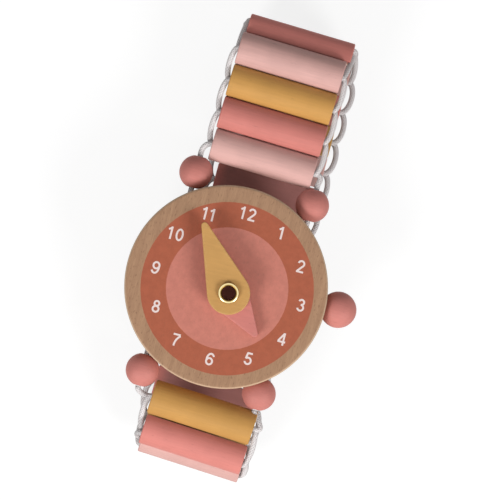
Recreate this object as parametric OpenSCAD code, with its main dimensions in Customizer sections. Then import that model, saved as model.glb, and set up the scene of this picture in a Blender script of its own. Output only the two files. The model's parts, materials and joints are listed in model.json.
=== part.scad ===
// Wooden toy watch, lying face up with its strap flattened. Millimetres.
// Origin on the hands' axis, at the level of the dial face.
// +X to 3 o'clock, +Y to 12 o'clock, +Z out of the dial.

/* [Disc] */
// Diameter of the wooden disc
disc_d = 36; // [34:0.5:39]
// Thickness of the wooden disc
disc_t = 8; // [7.5:0.25:9]
// Rounding of the disc's edges
edge_r = 0.5; // [0.5:0.25:1.5]

/* [Eyelet] */
// How far the eyelet sits off the disc's middle, towards 3 o'clock
eyelet_x = 0.7; // [-1:0.1:1]
// How far the eyelet sits off the disc's middle, towards 12 o'clock
eyelet_y = -0.9; // [-1:0.1:1]
// Outer diameter of the eyelet's barrel
barrel_d = 3; // [2.8:0.1:3.2]
// Wall of the eyelet's barrel
barrel_wall = 0.25; // [0.2:0.05:0.3]
// How far the rolled front rim stands out past the barrel
rim_out = 0.33; // [0.25:0.01:0.5]
// Straight height of the rim below its rounded top
rim_h = 0.35; // [0.2:0.05:0.6]
// How far the rolled rear end stands out past the barrel
roll_out = 0.6; // [0.4:0.05:0.8]
// Thickness of the rolled rear end
roll_t = 0.4; // [0.3:0.05:0.5]
// Diameter of the washer behind the disc
washer_d = 6; // [5.5:0.25:7]
// Thickness of the washer
washer_t = 0.5; // [0.4:0.1:0.6]
// How far the rolled rear end lies below the disc's rear face
roll_sunk = 0.2; // [0.1:0.05:0.4]

/* [Hands] */
// Thickness of each hand
hand_t = 1.6; // [1.2:0.1:2]
// Gap under and over each hand
hand_gap = 0.15; // [0.1:0.05:0.3]
// Radial clearance of the hands on the barrel
running_gap = 0.05; // [0.03:0.01:0.08]
// Length of the minute hand from its axis
minute_len = 13.2; // [12:0.1:14.5]
// Diameter of the minute hand's round end
minute_base_d = 7.6; // [7:0.1:8]
// Length of the hour hand from its axis
hour_len = 9.1; // [8:0.1:10]
// Diameter of the hour hand's round end
hour_base_d = 7; // [6.5:0.1:7.5]
// Diameter of a hand's rounded tip
tip_d = 1.2; // [0.8:0.1:1.6]
// Minute hand's place, anticlockwise from 12 o'clock in degrees
minute_angle = 34; // [0:1:359]
// Hour hand's place, anticlockwise from 12 o'clock in degrees
hour_angle = 227; // [0:1:359]

/* [Beads] */
// Diameter of each lug bead
lug_d = 6; // [5.6:0.1:6.2]
// From the ends of a centred slat to the middle of the lug beads
lug_clear = 1.3; // [1.1:0.1:1.8]
// How far a lug bead sinks into its seat in the rim
lug_seat = 0.7; // [0.5:0.05:0.9]
// Diameter of the crown bead
crown_d = 6.5; // [6:0.1:7]
// Place of the crown, anticlockwise from 3 o'clock in degrees
crown_angle = 3; // [-5:0.5:5]
// How far the crown bead sinks into its seat in the rim
crown_seat = 0.95; // [0.6:0.05:1.2]
// Diameter of the crown's peg
peg_d = 2.4; // [2:0.1:2.8]
// Depth of the crown's peg in the rim, below the seat
peg_in_rim = 2.5; // [2:0.25:3]
// Depth of the crown's peg in the bead
peg_in_bead = 4; // [3:0.25:4.5]
// Glue gap round the beads and the peg
glue_gap = 0.05; // [0.03:0.01:0.1]

/* [Strap] */
// Hinge to hinge width of a slat in front and on the folds
front_pitch = 5.9; // [5.75:0.05:6.1]
// Length of a slat
slat_len = 18.6; // [17:0.2:19]
// Height of a slat from its flat to its crown
slat_h = 3.6; // [3.4:0.1:4]
// Least gap between two slats
slat_gap = 0.2; // [0.15:0.05:0.3]
// Height of a slat's bore above its flat
bore_level = 1.7; // [1.6:0.05:1.8]
// Diameter of a slat's bore
bore_d = 2.3; // [2.25:0.05:2.5]
// Drop from the head's hinges to the flats of the rear run
loop_drop = 9.5; // [9.2:0.05:10]
// From the rim to the hinge of the first slat above the disc
top_reach = 2.83; // [2.7:0.01:3.2]
// From the rim to the hinge of the first slat below the disc
bottom_reach = 2.35; // [2.35:0.01:2.8]
// Lean of the slat on the bottom fold, in degrees from level
bottom_lean = 105; // [98:1:110]
// Sideways place of the front slats on the cord
front_shift = 0.9; // [0:0.1:1.2]
// Sideways place of the slats on the folds
fold_shift = 1.4; // [0:0.1:1.8]
// Sideways place of the rear slats
rear_shift = 2; // [0:0.1:2.4]

/* [Elastic] */
// Diameter of the elastic cord
cord_d = 1; // [0.85:0.05:1.05]
// How far the cord's middle line stands out past the slat ends
cord_bulge = 1.5; // [1.2:0.1:1.9]
// Gap between the two strands in a slat
strand_gap = 0.16; // [0.14:0.01:0.2]
// Room round the cord in the disc and the lug beads
thread_room = 0.6; // [0.3:0.1:0.8]
// Straight length of cord at the pole of a lug bead
lug_lead = 0.3; // [0.2:0.05:0.5]
// How far the cord goes on from there before it turns
lug_rise = 1; // [0.8:0.1:1.3]
// How far the cord bows out before it turns into the slat next to a lug bead
lug_bow = 2.6; // [2:0.1:3]
// Half of the opened arc at the loop's open link, in degrees
split_angle = 2.5; // [1.5:0.5:5]

/* [Hidden] */
$fn = 96;
edge_steps = 6;
lip_steps = 8;
tip_steps = 8;
base_steps = 40;
crown_steps = 15;
tube_sides = 8;
arc_steps = 8;
lug_steps = 10;
past = 1;
slat_count = 21;
top_count = 4;
top_fold_count = 2;
bottom_count = 2;
rear_first = top_count + top_fold_count + 1;
rear_last = slat_count - bottom_count - 1;
open_link = (slat_count + 1) / 2;

// Paint and material colours
paints = ["#e3bdb6", "#dc8c80", "#d9a45c"];
beech = "#c9a27c";
rose = "#d2857b";
ochre = "#d3a35f";
brass = "#d8b45a";
cord_white = "#e6dede";

// Head
disc_r = disc_d / 2;
thread_z = -disc_t / 2;
thread_d = cord_d + thread_room;
hour_z = hand_gap;
minute_z = hour_z + hand_t + hand_gap;
rim_z = minute_z + hand_t + hand_gap;
bore_r = barrel_d / 2 - barrel_wall;
rim_r = barrel_d / 2 + rim_out;
roll_r = barrel_d / 2 + roll_out;
recess_depth = washer_t + roll_t + roll_sunk;
recess_z = -disc_t + recess_depth;
roll_z = recess_z - washer_t - roll_t;
lug_x = slat_len / 2 + lug_clear;
lug_out = disc_r + lug_d / 2 - lug_seat;
lug_y = sqrt(lug_out * lug_out - lug_x * lug_x);
lug_end = lug_y + lug_d / 2;
crown_x = disc_r + crown_d / 2 - crown_seat;
peg_x = crown_x - crown_d / 2 - peg_in_rim;
peg_end = crown_x - crown_d / 2 + peg_in_bead;

// Strap: hinge lines run along X at the slats' flats, and headings turn from +Y towards -Z
hinge_z = thread_z - bore_level;
fold_drop = top_fold_count * front_pitch;
top_slope = asin((loop_drop - fold_drop) / (top_count * front_pitch));
bottom_slope = asin((loop_drop - front_pitch * sin(bottom_lean)) / front_pitch);
top_hinge = [disc_r + top_reach, hinge_z];
rear_top_y = top_hinge[0] + top_count * front_pitch * cos(top_slope);
bottom_run = front_pitch * (1 + cos(bottom_slope) + cos(bottom_lean));
rear_bottom_y = -disc_r - bottom_reach - bottom_run;
rear_pitch = (rear_top_y - rear_bottom_y) / (rear_last - rear_first + 1);
slat_w = min(front_pitch, rear_pitch) - slat_gap;
strand = (cord_d + strand_gap) / 2;

function is_rear(i) = i >= rear_first && i <= rear_last;
function is_fold(i) = i == rear_last + 1 || (i > top_count && i < rear_first);
function heading(i) =
    i <= top_count ? top_slope :
    i < rear_first ? 90 :
    is_rear(i) ? 180 :
    i == rear_last + 1 ? 360 - bottom_lean :
    i < slat_count ? 360 - bottom_slope : 360;
function pitch(i) = is_rear(i) ? rear_pitch : front_pitch;
function shift(i) = is_rear(i) ? rear_shift : is_fold(i) ? fold_shift : front_shift;
function along(i) = [cos(heading(i)), -sin(heading(i))];
function outward(i) = [sin(heading(i)), cos(heading(i))];
function hinge(i) = i == 0 ? top_hinge : hinge(i - 1) + pitch(i) * along(i);
function middle(i) = (hinge(i - 1) + hinge(i)) / 2;
function strand_at(i, level) = middle(i) + (bore_level + level) * outward(i);
function two(i) = str(i < 10 ? "0" : "", i);
function slat_name(i) = str("slat_", two(i));
function link_name(i) = str("elastic_link_", two(i));

lug_names = ["lug_bead_11", "lug_bead_1", "lug_bead_5", "lug_bead_7"];
lug_signs = [[-1, 1], [1, 1], [1, -1], [-1, -1]];
links = [for (i = [1:slat_count - 1]) if (i != open_link) i];

function unit(v) = v / norm(v);
function mix(a, b, t) = a + (b - a) * t;
function arc(centre, r, from, to, steps) =
    [for (k = [0:steps]) let (a = from + (to - from) * k / steps) centre + r * [cos(a), sin(a)]];

// Whatever is set out from the disc's middle
module off_axis() {
    translate([-eyelet_x, -eyelet_y, 0]) children();
}

module at_crown() {
    off_axis() rotate(crown_angle) children();
}

// Round tube along a list of points, with its rings kept square to the route
module tube(route, normal) {
    last = len(route) - 1;
    rings = [for (k = [0:last])
        let (
            t = unit(route[min(k + 1, last)] - route[max(k - 1, 0)]),
            side = unit(cross(t, normal)),
            up = cross(side, t)
        )
        for (s = [0:tube_sides - 1])
            let (a = 360 * (s + 0.5) / tube_sides)
            route[k] + cord_d / 2 * (cos(a) * up + sin(a) * side)
    ];
    walls = [for (k = [0:last - 1], s = [0:tube_sides - 1])
        let (n = (s + 1) % tube_sides, a = k * tube_sides, b = a + tube_sides)
        [a + s, a + n, b + n, b + s]
    ];
    near = [for (s = [tube_sides - 1:-1:0]) s];
    far = [for (s = [0:tube_sides - 1]) last * tube_sides + s];
    polyhedron(rings, concat(walls, [near, far]));
}

module disc() {
    profile = concat(
        [[0, -disc_t]],
        arc([disc_r - edge_r, edge_r - disc_t], edge_r, -90, 0, edge_steps),
        arc([disc_r - edge_r, -edge_r], edge_r, 0, 90, edge_steps),
        [[0, 0]]
    );
    color(beech)
    difference() {
        off_axis() rotate_extrude() polygon(profile);
        translate([0, 0, -disc_t - past]) cylinder(d = barrel_d, h = disc_t + 2 * past);
        translate([0, 0, -disc_t - past]) cylinder(d = washer_d + 2 * glue_gap, h = recess_depth + past);
        off_axis()
            for (s = [-1, 1])
                translate([s * lug_x, 0, thread_z]) rotate([90, 0, 0])
                    cylinder(d = thread_d, h = disc_d, center = true);
        off_axis()
            for (s = lug_signs)
                translate([s[0] * lug_x, s[1] * lug_y, thread_z]) sphere(d = lug_d + 2 * glue_gap);
        at_crown() translate([crown_x, 0, thread_z]) sphere(d = crown_d + 2 * glue_gap);
        at_crown() translate([peg_x, 0, thread_z]) rotate([0, 90, 0])
            cylinder(d = peg_d + 2 * glue_gap, h = disc_r);
    }
}

module eyelet() {
    lip_r = (rim_r - bore_r) / 2;
    lip = [bore_r + lip_r, rim_z + rim_h];
    profile = concat(
        [[bore_r, roll_z], [roll_r, roll_z], [roll_r, roll_z + roll_t], [barrel_d / 2, roll_z + roll_t]],
        [[barrel_d / 2, rim_z], [rim_r, rim_z]],
        arc(lip, lip_r, 0, 180, lip_steps)
    );
    color(brass) rotate_extrude() polygon(profile);
}

module eyelet_washer() {
    color(brass)
    translate([0, 0, recess_z - washer_t])
        difference() {
            cylinder(d = washer_d, h = washer_t);
            translate([0, 0, -past]) cylinder(d = barrel_d, h = washer_t + 2 * past);
        }
}

// Teardrop hand along +Y: a round end, a round tip and the two lines that touch both
module hand(base_d, length) {
    tip = [0, length - tip_d / 2];
    lean = acos((base_d - tip_d) / 2 / tip[1]);
    outline = concat(
        arc(tip, tip_d / 2, 90 - lean, 90 + lean, tip_steps),
        arc([0, 0], base_d / 2, 90 + lean, 450 - lean, base_steps)
    );
    difference() {
        linear_extrude(hand_t) polygon(outline);
        translate([0, 0, -past]) cylinder(d = barrel_d + 2 * running_gap, h = hand_t + 2 * past);
    }
}

module hour_hand() {
    color(rose) translate([0, 0, hour_z]) rotate(hour_angle) hand(hour_base_d, hour_len);
}

module minute_hand() {
    color(ochre) translate([0, 0, minute_z]) rotate(minute_angle) hand(minute_base_d, minute_len);
}

module lug_bead(signs) {
    color(rose) off_axis()
    translate([signs[0] * lug_x, signs[1] * lug_y, thread_z])
        difference() {
            sphere(d = lug_d);
            rotate([90, 0, 0]) cylinder(d = thread_d, h = lug_d + 2 * past, center = true);
        }
}

module crown_bead() {
    color(rose) at_crown()
    difference() {
        translate([crown_x, 0, thread_z]) sphere(d = crown_d);
        translate([peg_x, 0, thread_z]) rotate([0, 90, 0])
            cylinder(d = peg_d + 2 * glue_gap, h = peg_end + glue_gap - peg_x);
    }
}

module crown_peg() {
    color(beech) at_crown()
    translate([peg_x + glue_gap, 0, thread_z]) rotate([0, 90, 0])
        cylinder(d = peg_d, h = peg_end - peg_x - glue_gap);
}

// Half-round slat: flat below, crown above, bore along X for the two strands
module slat(i) {
    crown = [0, slat_h - slat_w / 2];
    profile = concat([[-slat_w / 2, 0], [slat_w / 2, 0]], arc(crown, slat_w / 2, 0, 180, crown_steps));
    at = middle(i);
    color(paints[(i - 1) % len(paints)]) off_axis()
    translate([shift(i), at[0], at[1]]) rotate([-heading(i), 0, 0])
        difference() {
            rotate([90, 0, 90]) linear_extrude(slat_len, center = true) polygon(profile);
            translate([0, 0, bore_level]) rotate([0, 90, 0])
                cylinder(d = bore_d, h = slat_len + 2 * past, center = true);
        }
}

// One strand from the middle of slat i, out of its end, round and into the middle of the next slat
function strand_start(i, side) = strand_at(i, side * strand);
function strand_end(i, side) = strand_at(i + 1, -side * strand);
function link_normal(i, side) = let (d = strand_end(i, side) - strand_start(i, side)) unit([0, -d[1], d[0]]);
function link_arc(i, side, from, to) =
    [for (k = [0:arc_steps])
        let (
            a = from + (to - from) * k / arc_steps,
            t = (1 - cos(a)) / 2,
            p = mix(strand_start(i, side), strand_end(i, side), t)
        )
        [mix(shift(i), shift(i + 1), t) + side * (slat_len / 2 + cord_bulge * sin(a)), p[0], p[1]]
    ];
function in_slat(i, p) = [shift(i), p[0], p[1]];

module elastic_link(i) {
    color(cord_white) off_axis()
    for (side = [-1, 1])
        tube(concat(
            [in_slat(i, strand_start(i, side))],
            link_arc(i, side, 0, 180),
            [in_slat(i + 1, strand_end(i, side))]
        ), link_normal(i, side));
}

// The strap loop is opened here, so each half of the arc stays with its own slat
module elastic_half_11() {
    color(cord_white) off_axis()
    for (side = [-1, 1])
        tube(concat(
            [in_slat(open_link, strand_start(open_link, side))],
            link_arc(open_link, side, 0, 90 - split_angle)
        ), link_normal(open_link, side));
}

module elastic_half_12() {
    color(cord_white) off_axis()
    for (side = [-1, 1])
        tube(concat(
            link_arc(open_link, side, 90 + split_angle, 180),
            [in_slat(open_link + 1, strand_end(open_link, side))]
        ), link_normal(open_link, side));
}

// One strand from a lug bead's outer pole, round and into the middle of the nearest slat
module lug_strands(i, dir) {
    color(cord_white) off_axis()
    for (side = [-1, 1]) {
        p = strand_at(i, -dir * side * strand);
        mouth = [shift(i) + side * slat_len / 2, p[0], p[1]];
        pole = [side * lug_x, dir * lug_end, thread_z];
        lead = pole + [0, dir * lug_lead, 0];
        rise = lead + [0, dir * lug_rise, 0];
        bow = mouth + [side * lug_bow, 0, 0];
        curve = [for (k = [0:lug_steps])
            let (t = k / lug_steps, u = 1 - t)
            u * u * u * lead + 3 * u * u * t * rise + 3 * u * t * t * bow + t * t * t * mouth
        ];
        tube(concat([pole], curve, [in_slat(i, p)]), [0, 0, 1]);
    }
}

module elastic_lug_top() {
    lug_strands(1, 1);
}

module elastic_lug_bottom() {
    lug_strands(slat_count, -1);
}

module elastic_head() {
    color(cord_white) off_axis()
    for (side = [-1, 1])
        translate([side * lug_x, 0, thread_z]) rotate([90, 0, 0])
            cylinder(d = cord_d, h = 2 * lug_end, center = true);
}

disc();
eyelet();
eyelet_washer();
hour_hand();
minute_hand();
crown_bead();
crown_peg();
for (k = [0:len(lug_names) - 1])
    lug_bead(lug_signs[k]);
for (i = [1:slat_count])
    slat(i);
for (i = links)
    elastic_link(i);
elastic_half_11();
elastic_half_12();
elastic_lug_top();
elastic_lug_bottom();
elastic_head();
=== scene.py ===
import json
import math

import bpy
import numpy as np
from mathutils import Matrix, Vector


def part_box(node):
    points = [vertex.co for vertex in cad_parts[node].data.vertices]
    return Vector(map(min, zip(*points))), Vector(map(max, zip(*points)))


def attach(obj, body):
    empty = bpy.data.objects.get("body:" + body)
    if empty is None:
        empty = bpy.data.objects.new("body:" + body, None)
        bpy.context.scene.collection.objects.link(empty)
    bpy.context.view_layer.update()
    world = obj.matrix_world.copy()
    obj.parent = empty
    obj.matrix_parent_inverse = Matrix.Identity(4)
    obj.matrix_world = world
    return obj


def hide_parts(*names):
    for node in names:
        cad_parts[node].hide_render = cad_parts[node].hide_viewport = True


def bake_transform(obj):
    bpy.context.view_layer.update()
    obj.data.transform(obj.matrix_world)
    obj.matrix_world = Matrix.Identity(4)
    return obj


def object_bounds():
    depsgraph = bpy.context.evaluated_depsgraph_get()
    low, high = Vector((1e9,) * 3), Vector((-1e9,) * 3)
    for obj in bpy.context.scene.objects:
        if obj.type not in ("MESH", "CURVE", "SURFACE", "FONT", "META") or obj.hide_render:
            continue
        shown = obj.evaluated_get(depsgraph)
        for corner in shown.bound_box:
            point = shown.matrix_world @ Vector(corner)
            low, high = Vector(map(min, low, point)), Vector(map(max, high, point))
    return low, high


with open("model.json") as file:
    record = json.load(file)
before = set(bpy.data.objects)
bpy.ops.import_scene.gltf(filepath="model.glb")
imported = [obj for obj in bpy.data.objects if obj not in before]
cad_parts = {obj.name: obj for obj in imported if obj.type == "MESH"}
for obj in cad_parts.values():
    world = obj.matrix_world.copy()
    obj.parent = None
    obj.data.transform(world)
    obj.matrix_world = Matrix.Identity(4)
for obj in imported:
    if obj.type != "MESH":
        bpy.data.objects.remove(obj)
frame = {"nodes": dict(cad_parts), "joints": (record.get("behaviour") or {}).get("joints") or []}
cadLow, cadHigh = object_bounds()
scene = bpy.context.scene

# lengths in the dictionaries are in millimetres and angles in degrees, unless a note says otherwise
mm = 0.001
fullTurn = 2 * math.pi
print("frame loaded:", len(frame["nodes"]), "nodes")


# the disc's middle and radius, from its packed box: 12, 6 and 9 o'clock have no bead seat in the rim
discLow, discHigh = (np.array(v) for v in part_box("disc"))
discRadius = (discHigh[1] - discLow[1]) / 2
discMiddle = np.array([discLow[0] + discRadius, (discLow[1] + discHigh[1]) / 2])

# camera straight above the dial, turned so that 12 o'clock leans right; the scale is in millimetres per
# pixel, and nearest and farthest are in metres
cameraLook = dict(turn=14.6, scale=0.17647, discAt=(226.1, 287.0), picture=500, height=700, sensor=36,
                  nearest=0.01, farthest=20)


def makeCamera(look):
    turn = math.radians(look["turn"])
    right = np.array([math.cos(turn), math.sin(turn)])
    up = np.array([-math.sin(turn), math.cos(turn)])
    middle = look["picture"] / 2
    across, down = middle - look["discAt"][0], look["discAt"][1] - middle
    aim = discMiddle + (right * across + up * down) * look["scale"] * mm
    data = bpy.data.cameras.new("photoCamera")
    data.sensor_width = look["sensor"]
    data.lens = look["sensor"] * look["height"] / (look["picture"] * look["scale"])
    data.clip_start, data.clip_end = look["nearest"], look["farthest"]
    camera = bpy.data.objects.new("photoCamera", data)
    camera.location = (aim[0], aim[1], look["height"] * mm)
    camera.rotation_euler = (0, 0, turn)
    scene.collection.objects.link(camera)
    scene.camera = camera
    return right, up


pictureRight, pictureUp = makeCamera(cameraLook)
print("camera set")


# a colour as it looks on screen, 0 to 255, as the linear values that shaders take
def screenColour(red, green, blue):
    c = np.array([red, green, blue]) / 255
    c = np.where(c <= 0.04045, c / 12.92, ((c + 0.055) / 1.055) ** 2.4)
    return (float(c[0]), float(c[1]), float(c[2]), 1.0)


# shader helpers: a node with its inputs linked or set
def put(tree, kind, links=None, **settings):
    made = tree.nodes.new(kind)
    for key, value in settings.items():
        setattr(made, key, value)
    for key, value in (links or {}).items():
        if isinstance(value, bpy.types.NodeSocket):
            tree.links.new(value, made.inputs[key])
        else:
            made.inputs[key].default_value = value
    return made


def calc(tree, operation, a, b=0.0):
    return put(tree, "ShaderNodeMath", {0: a, 1: b}, operation=operation).outputs[0]


def times(tree, a, b):
    return calc(tree, "MULTIPLY", a, b)


def oneLess(tree, value):
    return calc(tree, "SUBTRACT", 1.0, value)


# values times their weights, added up on a start value
def weighed(tree, start, *pairs):
    total = start
    for value, weight in pairs:
        total = calc(tree, "ADD", times(tree, value, weight), total)
    return total


def stretch(tree, vector, factors):
    return put(tree, "ShaderNodeVectorMath", {0: vector, 1: factors}, operation="MULTIPLY").outputs[0]


noiseMiddle = 0.5


# soft noise about its middle; a small factor in along draws it out into streaks that way
def cloud(tree, vector, scale, detail=3.0, rough=0.5, along=None):
    if along:
        vector = stretch(tree, vector, along)
    links = {"Vector": vector, "Scale": scale, "Detail": detail, "Roughness": rough}
    return put(tree, "ShaderNodeTexNoise", links).outputs[0]


# 0 below the range, 1 above it and a smooth step between
def rise(tree, value, low, high):
    links = {"Value": value, "From Min": low, "From Max": high}
    return put(tree, "ShaderNodeMapRange", links, interpolation_type="SMOOTHSTEP").outputs[0]


def blendColours(tree, factor, a, b):
    return put(tree, "ShaderNodeMix", {0: factor, 6: a, 7: b}, data_type="RGBA").outputs[2]


def recolour(tree, colour, value, saturation=1.0):
    links = {"Color": colour, "Saturation": saturation, "Value": value}
    return put(tree, "ShaderNodeHueSaturation", links).outputs[0]


# a value that makePiece stored on the mesh
def meshValue(tree, name):
    return put(tree, "ShaderNodeAttribute", attribute_name=name).outputs["Fac"]


# distance from the Z axis, and height, of a place
def radiusOf(tree, place):
    flat = stretch(tree, place, (1, 1, 0))
    return put(tree, "ShaderNodeVectorMath", {0: flat}, operation="LENGTH").outputs["Value"]


def heightOf(tree, place):
    return put(tree, "ShaderNodeSeparateXYZ", {0: place}).outputs[2]


def newGroup(name, inputs, outputs):
    tree = bpy.data.node_groups.new(name, "ShaderNodeTree")
    for label, kind, value in inputs:
        tree.interface.new_socket(name=label, in_out="INPUT", socket_type=kind).default_value = value
    for label, kind in outputs:
        tree.interface.new_socket(name=label, in_out="OUTPUT", socket_type=kind)
    return tree, put(tree, "NodeGroupInput").outputs, put(tree, "NodeGroupOutput").inputs


def useGroup(tree, group, links):
    return put(tree, "ShaderNodeGroup", links, node_tree=group).outputs


# wood grain that runs along X of the vector, in millimetres: slow bands, fine pores and short flecks
grainLook = dict(bands=dict(scale=1.1, detail=4.0, rough=0.6, along=(0.05, 0.9, 0.9)),
                 pores=dict(scale=5.5, rough=0.6, along=(0.12, 1, 1)),
                 flecks=dict(scale=3.4, detail=1.0, rough=0.4, along=(0.42, 1, 0.6)),
                 fleckRange=(0.6, 0.74), bandShare=0.6, poreShare=0.4, fleckDepth=0.3)


def makeWoodGrain(look):
    tree, given, out = newGroup(
        "woodGrain", [("Vector", "NodeSocketVector", (0, 0, 0))],
        [("Bands", "NodeSocketFloat"), ("Flecks", "NodeSocketFloat"), ("Height", "NodeSocketFloat")])
    bands, pores, flecks = (cloud(tree, given["Vector"], **look[n]) for n in ("bands", "pores", "flecks"))
    flecks = rise(tree, flecks, *look["fleckRange"])
    both = weighed(tree, 0.0, (bands, look["bandShare"]), (pores, look["poreShare"]))
    tree.links.new(both, out["Bands"])
    tree.links.new(flecks, out["Flecks"])
    tree.links.new(weighed(tree, pores, (flecks, -look["fleckDepth"])), out["Height"])
    return tree


# matt paint over wood: cloudy tone, brush streaks along X, a few fine cracks and rubbed edges
coatLook = dict(clouds=dict(scale=0.28), streaks=dict(scale=2.6, detail=4.0, rough=0.62, along=(0.07, 1, 1)),
                speckle=dict(scale=9.0, detail=2.0), cracks=dict(scale=4.2, detail=2.0, along=(0.13, 1, 1)),
                rubbing=dict(scale=1.7, detail=4.0),
                crackRange=(0.69, 0.76), toneRange=(0.25, 0.75), rubRange=(1.36, 1.52),
                cloudTone=0.45, streakTone=0.55, pieceTone=0.6, middleTone=0.5, darkest=0.9, lightest=1.06,
                crackDark=0.62, crackShow=0.5, rubbingShare=0.9, rough=0.46, streakRough=0.22, rubRough=0.1,
                streakHeight=0.6, speckleHeight=0.16, crackDepth=0.35, rubDepth=0.2)


def makePaintCoat(look):
    tree, given, out = newGroup(
        "paintCoat",
        [("Vector", "NodeSocketVector", (0, 0, 0)), ("Paint", "NodeSocketColor", (1, 1, 1, 1)),
         ("Bare", "NodeSocketColor", (1, 1, 1, 1)), ("Edge", "NodeSocketFloat", 0.0),
         ("Wear", "NodeSocketFloat", 0.5), ("Tone", "NodeSocketFloat", 0.5)],
        [("Color", "NodeSocketColor"), ("Roughness", "NodeSocketFloat"), ("Height", "NodeSocketFloat")])
    names = ("clouds", "streaks", "speckle", "cracks", "rubbing")
    clouds, streaks, speckle, cracks, rubbing = (cloud(tree, given["Vector"], **look[n]) for n in names)
    cracks = rise(tree, cracks, *look["crackRange"])
    ownTone = calc(tree, "SUBTRACT", given["Tone"], look["middleTone"])
    tone = weighed(tree, 0.0, (clouds, look["cloudTone"]), (streaks, look["streakTone"]),
                   (ownTone, look["pieceTone"]))
    paint = blendColours(tree, rise(tree, tone, *look["toneRange"]),
                         recolour(tree, given["Paint"], look["darkest"]),
                         recolour(tree, given["Paint"], look["lightest"]))
    paint = blendColours(tree, times(tree, cracks, look["crackShow"]), paint,
                         recolour(tree, given["Paint"], look["crackDark"]))
    rubbed = weighed(tree, given["Edge"], (rubbing, look["rubbingShare"]))
    rubbed = times(tree, rise(tree, rubbed, *look["rubRange"]), given["Wear"])
    tree.links.new(blendColours(tree, rubbed, paint, given["Bare"]), out["Color"])
    rough = weighed(tree, look["rough"], (streaks, look["streakRough"]), (rubbed, look["rubRough"]))
    tree.links.new(rough, out["Roughness"])
    height = weighed(tree, 0.0, (streaks, look["streakHeight"]), (speckle, look["speckleHeight"]),
                     (cracks, -look["crackDepth"]), (rubbed, -look["rubDepth"]))
    tree.links.new(height, out["Height"])
    return tree


# braid of two crossing sets of threads, on a map of turns round the cord and millimetres along it
braidLook = dict(threads=6.0, pitch=0.6, threadRange=(-0.6, 0.9), fuzz=dict(scale=3.0, along=(12, 3, 1)),
                 fuzzHeight=0.5)


def makeCordBraid(look):
    tree, given, out = newGroup(
        "cordBraid",
        [("Map", "NodeSocketVector", (0, 0, 0)), ("Threads", "NodeSocketFloat", look["threads"]),
         ("Pitch", "NodeSocketFloat", look["pitch"])],
        [("Threads", "NodeSocketFloat"), ("Height", "NodeSocketFloat")])
    parts = put(tree, "ShaderNodeSeparateXYZ", {0: given["Map"]}).outputs
    turns = times(tree, parts[0], given["Threads"])
    along = calc(tree, "DIVIDE", parts[1], given["Pitch"])
    ways = [calc(tree, "SINE", times(tree, calc(tree, way, turns, along), fullTurn))
            for way in ("ADD", "SUBTRACT")]
    braid = calc(tree, "MAXIMUM", ways[0], ways[1])
    fuzz = cloud(tree, given["Map"], **look["fuzz"])
    tree.links.new(rise(tree, braid, *look["threadRange"]), out["Threads"])
    tree.links.new(weighed(tree, braid, (fuzz, look["fuzzHeight"])), out["Height"])
    return tree


woodGrain, paintCoat, cordBraid = makeWoodGrain(grainLook), makePaintCoat(coatLook), makeCordBraid(braidLook)
print("shared shader groups made")


# an empty material with its shader, and the object's own coordinates in millimetres
def newMaterial(name, values):
    material = bpy.data.materials.new(name)
    material.use_nodes = True
    tree = material.node_tree
    shader = tree.nodes["Principled BSDF"]
    for label, value in values.items():
        shader.inputs[label].default_value = value
    place = put(tree, "ShaderNodeTexCoord").outputs["Object"]
    return material, tree, shader.inputs, stretch(tree, place, (1 / mm, 1 / mm, 1 / mm))


# bump is a strength and a depth in millimetres
def bumpInto(tree, sockets, height, bump):
    links = {"Height": height, "Strength": bump[0], "Distance": bump[1] * mm}
    tree.links.new(put(tree, "ShaderNodeBump", links).outputs[0], sockets["Normal"])


paintLook = dict(
    lightPink=dict(paint=(231, 182, 174), bare=(240, 214, 196), wear=0.5),
    coral=dict(paint=(224, 138, 128), bare=(238, 190, 172), wear=0.5),
    mustard=dict(paint=(214, 160, 88), bare=(232, 202, 150), wear=0.45),
    rose=dict(paint=(213, 134, 124), bare=(226, 170, 154), wear=0.2),
    ochre=dict(paint=(216, 165, 98), bare=(228, 196, 142), wear=0.15),
    pinkHand=dict(paint=(217, 134, 125), bare=(230, 176, 162), wear=0.1),
)
# one entry darkens and greys the paint as painted shade on the strap's inside faces
paintFinish = dict(shine=0.28, bump=(0.35, 0.09), insideShade=dict(value=0.66, saturation=0.88),
                   bounced=dict(value=0.85, saturation=0.45))


# paint, darker and greyer where the mesh marks painted shade on the strap's inside; the light that it throws
# on other pieces is greyer than its own colour
def paintMaterial(name, look, finish):
    material, tree, sockets, place = newMaterial(name + "Paint", {"Specular IOR Level": finish["shine"]})
    coat = useGroup(tree, paintCoat, {
        "Vector": place, "Paint": screenColour(*look["paint"]), "Bare": screenColour(*look["bare"]),
        "Edge": meshValue(tree, "edge"), "Wear": look["wear"], "Tone": meshValue(tree, "tone")})
    # painted shade: a darker, greyer copy of the paint, laid where the mesh marks the strap's shaded inside
    insideShade = recolour(tree, coat["Color"], **finish["insideShade"])
    colour = blendColours(tree, meshValue(tree, "dirtAndShade"), coat["Color"], insideShade)
    bounced = put(tree, "ShaderNodeLightPath").outputs["Is Diffuse Ray"]
    greyer = recolour(tree, colour, **finish["bounced"])
    tree.links.new(blendColours(tree, bounced, colour, greyer), sockets["Base Color"])
    tree.links.new(coat["Roughness"], sockets["Roughness"])
    bumpInto(tree, sockets, coat["Height"], finish["bump"])
    return material


beechLook = dict(pale=(188, 148, 116), dark=(170, 131, 102), fleck=(134, 100, 74), edge=(228, 198, 166),
                 grainTurn=90, bandRange=(0.34, 0.66), fleckShow=0.55, shine=0.3, rough=0.55,
                 bump=(0.35, 0.08))


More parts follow.
